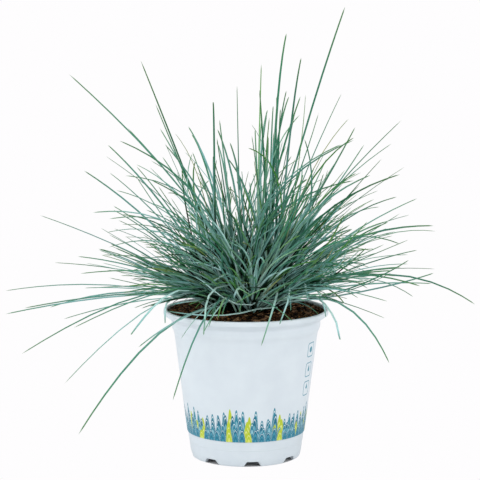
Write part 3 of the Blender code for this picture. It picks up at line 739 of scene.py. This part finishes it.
leaf_pattern = straight_leaf()
leaf_finish = fescue_leaf()
SEEN_TIPS = [  # tips of more leaves that cross the bunches, in millimetres
    (-21, 30, 264), (-61, -50, 250), (-69, 85, 230), (-111, 60, 219), (-108, 95, 201),
    (-100, -95, 199), (-106, 30, 195), (-24, 100, 241), (-12, -85, 254), (18, 80, 269),
    (98, 85, 240), (90, -95, 231), (113, -85, 202), (113, 105, 186), (16, -70, 258),
    (68, 110, 226), (69, -90, 253), (-166, -70, 129), (-150, 60, 98),
    (-116, 110, 151), (-76, -130, 187), (-120, -110, 161), (99, -115, 183), (154, 70, 126),
    (137, 50, 118), (103, -100, 139), (124, 110, 131),
]
FRONT_LEAVES = [  # stray leaves over the peat in front: the places that each goes through
    [(13, -34, 130), (3, -44, 127), (-11, -50, 130), (-24, -52, 139), (-35, -52, 148), (-50, -50, 154)],
    [(-5, -30, 136), (-14, -40, 142), (-25, -52, 140), (-30, -60, 131), (-31, -67, 120), (-32, -68, 108)],
    [(24, -24, 122), (7, -40, 123), (-8, -50, 121), (-25, -56, 121), (-43, -50, 121), (-61, -36, 121)],
    [(15, -40, 145), (8, -41, 140), (0, -42, 135)],
    [(3, -36, 143), (-3, -42, 142), (-8, -46, 137), (-10, -48, 130)],
    [(-17, -44, 150), (-22, -48, 148), (-26, -50, 145)],
    [(-16, -18, 135), (-25, -30, 161), (-22, -36, 159), (-16, -42, 149), (-8, -45, 143)],
    [(19, -26, 124), (10, -34, 130), (-2, -42, 141), (-12, -48, 151), (-31, -54, 160), (-45, -56, 162)],
    [(18, -28, 129), (7, -38, 143), (1, -42, 150), (-8, -46, 160), (-18, -50, 178)],
    [(12, -30, 128), (27, -36, 129), (39, -42, 133), (48, -46, 137), (60, -50, 140)],
    [(26, -27, 124), (33, -34, 128), (48, -42, 131), (64, -50, 132)],
    [(18, -26, 122), (25, -32, 127), (32, -38, 136), (43, -44, 147), (54, -48, 156)],
    [(26, -20, 127), (34, -34, 142), (33, -42, 138), (32, -50, 132), (28, -60, 123), (25, -67, 116)],
    [(45, -38, 143), (46, -42, 137), (47, -44, 131)],
    [(50, -20, 140), (55, -30, 136), (58, -36, 130), (60, -38, 124), (61, -40, 117)],
    [(-47, -22, 129), (-56, -30, 129), (-61, -36, 127), (-62, -40, 120), (-62, -40, 112)],
    [(-24, -30, 129), (-39, -36, 129), (-49, -38, 128), (-59, -38, 126)],
    [(42, -20, 129), (55, -32, 131), (62, -42, 125), (68, -50, 116), (70, -56, 107), (71, -60, 103)],
    [(-34, -40, 137), (-52, -68, 142), (-64, -86, 137), (-73, -98, 129), (-80, -106, 121), (-84, -110, 116)],
]
tuft_nodes = sorted(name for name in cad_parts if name.startswith("tuft_"))
solids = {node: solid_leaves(node) for node in tuft_nodes}
others = {node: [] for node in tuft_nodes}
for seen in SEEN_TIPS:
    tip = Vector(seen) * MM
    nearest = min(tuft_nodes, key=lambda node: (solids[node][1][0][2] - tip).length)
    others[nearest].append((shifted(solids[nearest][1], tip), 0.5))
# Stray front leaves that end close to the pot get a high wax value, which keeps them out of the painted
# shade.
for places in FRONT_LEAVES:
    path = through(places)
    nearest = min(tuft_nodes, key=lambda node: (solids[node][0] - path[0]).length)
    others[nearest].append((path, 1.3 if path[-1].xy.length < 100 * MM else 0.7))
for node in tuft_nodes:
    made_piece(node + "_leaves", tuft(rng, *solids[node], others[node]), leaf_finish, node)

# Studio.
# The pot stands on a plain white sweep that is lit to near white, with light from all round and one
# large soft box above it in front. The picture is developed on a plain curve, so that whites stay
# white and a leaf thinner than a pixel keeps its share of it.

bpy.context.scene.view_settings.view_transform = "Standard"
PAPER_WHITE = 1.0
floor_mesh = bpy.data.meshes.new("studio floor")
bm = bmesh.new()
bmesh.ops.create_circle(bm, cap_ends=True, segments=64, radius=12.0)
bm.to_mesh(floor_mesh)
bm.free()
floor = bpy.data.objects.new("studio_floor", floor_mesh)
bpy.context.scene.collection.objects.link(floor)
paper, shader = new_finish("white paper sweep")
shader.inputs["Base Color"].default_value = linear("#DCDDDE")
shader.inputs["Roughness"].default_value = 0.9
place = add(paper, "TexCoord").outputs["Object"]
place = add(paper, "VectorMath", {0: place}, operation="LENGTH").outputs["Value"]
beside = add(paper, "Math", {0: place, 1: 42 * MM}, operation="GREATER_THAN").outputs[0]
seen = add(paper, "LightPath").outputs["Is Camera Ray"]
burnt = add(paper, "Math", {0: seen, 1: beside}, operation="MULTIPLY").outputs[0]
glow = add(paper, "Emission", {"Color": linear("#FEFDFE"), "Strength": PAPER_WHITE})
both = add(paper, "MixShader", {0: burnt, 1: shader.outputs[0], 2: glow.outputs[0]})
paper.node_tree.links.new(both.outputs[0], paper.node_tree.nodes["Material Output"].inputs["Surface"])
floor_mesh.materials.append(paper)

world = bpy.data.worlds.new("soft studio")
world.use_nodes = True
bpy.context.scene.world = world
surround = world.node_tree.nodes["Background"]
seen = add(world, "LightPath").outputs["Is Camera Ray"]
level = add(world, "MapRange", {0: seen, 3: 0.80, 4: PAPER_WHITE})
world.node_tree.links.new(level.outputs[0], surround.inputs["Strength"])
surround.inputs["Color"].default_value = linear("#FEFDFE")

soft_boxes = [  # name, place, size, power: over the front left, over the right, behind
    ("left soft box", (-1.7, -1.0, 0.7), 1.2, 14),
    ("right soft box", (1.7, -1.0, 0.7), 1.2, 12),
    ("top soft box", (-0.3, -0.2, 2.0), 1.2, 12),
]
for name, place, size, power in soft_boxes:
    lamp = bpy.data.lights.new(name, "AREA")
    lamp.shape = "SQUARE"
    lamp.size = size
    lamp.energy = power
    box = bpy.data.objects.new(name, lamp)
    box.location = place
    box.rotation_euler = (Vector((0, 0, 0.15)) - Vector(place)).to_track_quat("-Z", "Y").to_euler()
    bpy.context.scene.collection.objects.link(box)

lens = bpy.data.cameras.new("camera")
lens.lens = 130.7
lens.sensor_width = 36.0
camera = bpy.data.objects.new("camera", lens)
camera.location = (-0.00467, -1.3559, 0.3453)
camera.rotation_euler = (math.radians(90 - 7.31), 0, 0)
bpy.context.scene.collection.objects.link(camera)
bpy.context.scene.camera = camera
